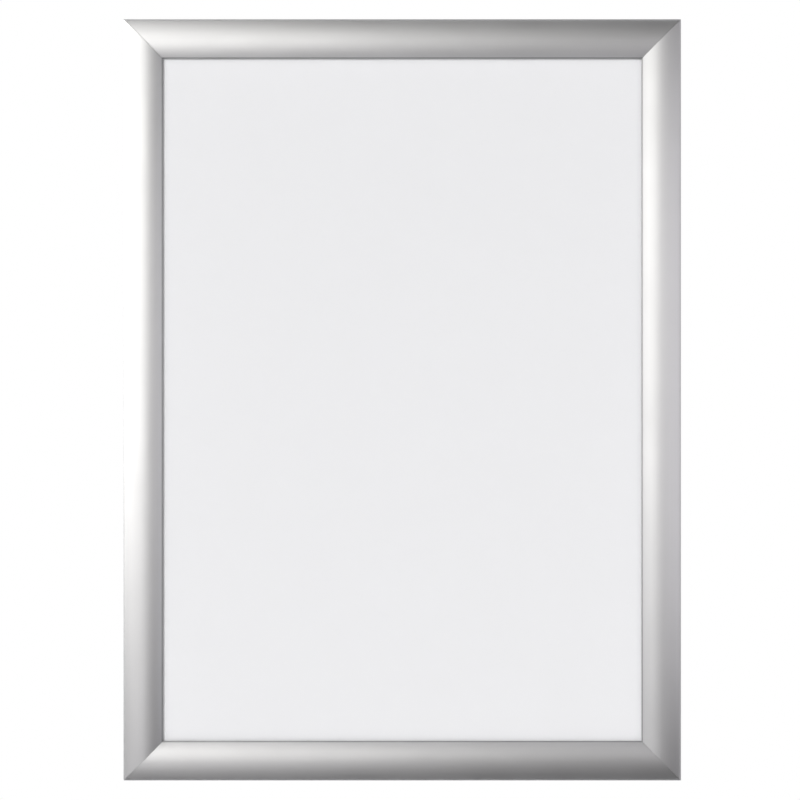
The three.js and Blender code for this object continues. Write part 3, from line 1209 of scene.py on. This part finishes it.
@dataclass
class SnapRails:
    """The four hinged covers with their springs, and the finishes of the rails and keys under them."""

    size: FrameSize
    spring_thickness: float = 0.5 * MM
    seat_clearance: float = 0.3 * MM
    cover_seat_from_hinge: float = 12 * MM
    springs_on_long_side: int = 3
    springs_on_short_side: int = 2
    rib_overlap: float = 0.5 * MM
    # Width of the painted shade line along the lip, past the nose
    painted_lip_shade_width: float = 1.1 * MM
    # How far from the outer edge the painted shade starts
    painted_edge_shade_width: float = 5.5 * MM

    def build(self) -> list[bpy.types.Object]:
        """Builds the covers and springs, and dresses the base rails and keys.

        The two seats of a spring and the hinge are in line when the cover is half open.

        Returns:
            The pieces, new and carried over.
        """
        hinge_line, opening = self.size.joint("cover_left_hinge")
        base_seat, _ = self.size.joint("springs_left_tilt")
        seat_angle = bearing(hinge_line, base_seat) - opening / 2
        cover_seat = polar(hinge_line, self.cover_seat_from_hinge, seat_angle)
        hinge = Hinge(hinge_line)
        crown = Crown(self.size.rail_width, self.size.depth, hinge.top)
        # The painted lip shade ends a little past the nose, and the painted edge shade starts short of the
        # outer edge
        anodised = SatinAnodisedAluminium(
            crown.nose_length + self.painted_lip_shade_width, crown.front_length - self.painted_edge_shade_width
        ).material()
        blued = BluedSpringSteel().material()
        rib = SpringRib(
            cover_seat,
            self.spring_thickness / 2 + self.seat_clearance,
            self.size.depth - crown.skin + self.rib_overlap,
        )
        made = []
        for side in Side:
            made.append(Cover(side, self.size, crown, hinge, rib).build(anodised))
            count = self.springs_on_long_side if side.upright else self.springs_on_short_side
            springs = Springs(side, self.size, base_seat, cover_seat, count, self.spring_thickness)
            made += springs.build(blued)
        return made + self.dress_base()

    def dress_base(self) -> list[bpy.types.Object]:
        """Gives the base rails and the corner keys their finishes.

        Returns:
            The rails and keys.
        """
        mill = {run: MillAluminium(run).material() for run in Run}
        zinc = ZincPlatedSteel().material()
        dressed = []
        for side in Side:
            rail = frame["nodes"][f"base_rail_{side.word}"]
            dress(rail, mill[Run.UP if side.upright else Run.ACROSS])
            dressed.append(rail)
        for node, key in frame["nodes"].items():
            if node.startswith("corner_key"):
                dress(key, zinc)
                dressed.append(key)
        return dressed


@dataclass
class Sheets:
    """The stack in the window: back panel, blank poster and clear cover sheet."""

    finishes: dict[str, MattSheet | NonGlarePlastic] = field(
        default_factory=lambda: {
            "back_panel": WhitePolystyrene(),
            "poster_sheet": UncoatedPaper(),
            "clear_cover_sheet": NonGlarePlastic(),
        }
    )

    def build(self) -> list[bpy.types.Object]:
        """Dresses the three sheets.

        Returns:
            The sheets.
        """
        for node, finish in self.finishes.items():
            dress(frame["nodes"][node], finish.material())
        return [frame["nodes"][node] for node in self.finishes]


@dataclass
class SoftBox:
    """A soft box: a rectangular lamp that faces the middle of the frame and is mirrored by its metal."""

    name: str
    place: Vector
    width: float
    height: float
    brightness: float
    tint: str

    def build(self, aim: Vector) -> bpy.types.Object:
        """Builds the lamp.

        Args:
            aim: The point it faces.

        Returns:
            The lamp.
        """
        data = bpy.data.lights.new(self.name, "AREA")
        data.shape = "RECTANGLE"
        data.size = self.width
        data.size_y = self.height
        data.energy = self.brightness * math.pi * self.width * self.height
        data.color = linear_colour(self.tint)[:3]
        lamp = bpy.data.objects.new(self.name, data)
        lamp.location = aim + self.place
        lamp.rotation_euler = (-self.place).to_track_quat("-Z", "Y").to_euler()
        lamp.visible_camera = False
        lamp.visible_diffuse = False
        bpy.context.scene.collection.objects.link(lamp)
        return lamp


@dataclass
class FarLamp:
    """A far soft lamp that lights paper, plastic and floor evenly, and that metal doesn't mirror."""

    name: str
    place: Vector
    faces: Vector
    level: float
    softness: float = 9

    def build(self) -> bpy.types.Object:
        """Builds the lamp, strong enough to light a surface that looks along faces to the level.

        White surroundings alone would light that surface to a level of 1.

        Returns:
            The lamp.
        """
        data = bpy.data.lights.new(self.name, "SUN")
        data.energy = self.level * math.pi / self.place.normalized().dot(self.faces)
        data.angle = math.radians(self.softness)
        lamp = bpy.data.objects.new(self.name, data)
        lamp.rotation_euler = (-self.place).to_track_quat("-Z", "Y").to_euler()
        lamp.visible_glossy = False
        bpy.context.scene.collection.objects.link(lamp)
        return lamp


@dataclass
class Studio:
    """Plain white studio: pale floor, white surroundings, a grey half dome in front, lamps, camera.

    Paper and plastic are lit half by the white surroundings and half by far lamps in front, behind and
    above. Bare metal mirrors the grey dome, which is the unlit side of the room behind the camera, and the
    soft boxes in it.
    """

    size: FrameSize
    pixels: int = 800
    pixels_per_metre: float = 1191.0
    centre_right: float = 2.25
    centre_up: float = 0.2
    lens: float = 100
    sensor: float = 36
    outline_height: float = 5.5 * MM
    floor_drop: float = 0.9
    floor_radius: float = 4.6
    floor_segments: int = 96
    surround_colour: str = "#FFFFFF"
    surround_level: float = 0.45
    dome_radius: float = 1.15
    dome_segments: int = 48
    dome_brightness: float = 0.015
    boxes: list[SoftBox] = field(
        default_factory=lambda: [
            SoftBox(
                "key_box",
                Vector((-0.455, -0.34, 0.205)),
                width=1.7,
                height=0.85,
                brightness=2.42,
                tint="#FFFEF8",
            ),
            SoftBox(
                "fill_box",
                Vector((0.47, -0.27, 0.025)),
                width=0.47,
                height=0.62,
                brightness=1.24,
                tint="#FFFCFD",
            ),
            SoftBox(
                "low_box",
                Vector((-0.415, -0.73, -0.365)),
                width=1.04,
                height=0.76,
                brightness=0.92,
                tint="#FFFDFD",
            ),
        ]
    )
    far_lamps: list[FarLamp] = field(
        default_factory=lambda: [
            FarLamp("front_lamp", Vector((-0.45, -1, 0.3)), faces=Vector((0, -1, 0)), level=0.41),
            FarLamp("back_lamp", Vector((0.45, 1, 0.3)), faces=Vector((0, 1, 0)), level=0.41),
            FarLamp("top_lamp", Vector((0, 0, 1)), faces=Vector((0, 0, 1)), level=0.25),
        ]
    )

    def build(self) -> None:
        """Builds the studio and sets the scene's view settings."""
        self.add_camera()
        self.add_world()
        self.add_floor()
        self.add_dome()
        for box in self.boxes:
            box.build(self.size.middle)
        for lamp in self.far_lamps:
            lamp.build()
        bpy.context.scene.view_settings.view_transform = "Standard"

    def add_camera(self) -> None:
        """Adds the photograph's camera: straight on, through a long lens.

        The frame's middle is centre_right and centre_up pixels from the picture's, and the scale in pixels
        holds at outline_height above the wall, where the covers' outer edge shows.
        """
        data = bpy.data.cameras.new("camera")
        data.lens = self.lens
        data.sensor_width = self.sensor
        distance = self.pixels / self.pixels_per_metre / self.sensor * self.lens
        camera = bpy.data.objects.new("camera", data)
        camera.location = self.size.middle + Vector(
            (
                -self.centre_right / self.pixels_per_metre,
                -distance - self.outline_height,
                -self.centre_up / self.pixels_per_metre,
            )
        )
        camera.rotation_euler = (math.pi / 2, 0, 0)
        bpy.context.scene.collection.objects.link(camera)
        bpy.context.scene.camera = camera

    def add_world(self) -> None:
        """Makes the surroundings white to the camera and in metal, and dimmer as light on matt things."""
        world = bpy.data.worlds.new("white_surroundings")
        world.use_nodes = True
        tree = world.node_tree
        tree.nodes.clear()
        path = add_node(tree, "ShaderNodeLightPath")
        level = add_node(
            tree,
            "ShaderNodeMapRange",
            inputs={"Value": path.outputs["Is Diffuse Ray"], "To Min": 1.0, "To Max": self.surround_level},
        )
        white = add_node(
            tree,
            "ShaderNodeBackground",
            inputs={"Color": linear_colour(self.surround_colour), "Strength": level.outputs[0]},
        )
        add_node(tree, "ShaderNodeOutputWorld", inputs={"Surface": white.outputs[0]})
        bpy.context.scene.world = world

    def add_floor(self) -> None:
        """Adds the pale floor, well under the frame because the frame hangs on a wall."""
        disc = bmesh.new()
        bmesh.ops.create_circle(
            disc, cap_ends=True, segments=self.floor_segments, radius=self.floor_radius
        )
        height = self.size.low.z - self.floor_drop
        floor = to_object("floor", disc, Matrix.Translation((0, 0, height)))
        dress(floor, StudioPaint().material())

    def add_dome(self) -> None:
        """Adds the grey half dome in front, which only mirroring surfaces see."""
        ball = bmesh.new()
        bmesh.ops.create_uvsphere(
            ball,
            u_segments=self.dome_segments,
            v_segments=self.dome_segments // 2,
            radius=self.dome_radius,
        )
        bmesh.ops.bisect_plane(
            ball,
            geom=[*ball.verts, *ball.edges, *ball.faces],
            plane_co=(0, 0, 0),
            plane_no=(0, 1, 0),
            clear_outer=True,
        )
        dome = to_object("grey_dome", ball, Matrix.Translation(self.size.middle))
        dress(dome, GreyCard(self.dome_brightness).material())
        dome.visible_camera = False
        dome.visible_diffuse = False
        dome.visible_transmission = False
        dome.visible_shadow = False


def main() -> None:
    """Builds the frame's looks and the studio."""
    logging.basicConfig(level=logging.INFO, format="%(name)s: %(message)s")
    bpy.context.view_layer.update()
    size = FrameSize()
    for assembly in (SnapRails(size), Sheets()):
        for piece in assembly.build():
            log.info("%s: %s", type(assembly).__name__, piece.name)
    Studio(size).build()


if __name__ == "__main__":
    main()
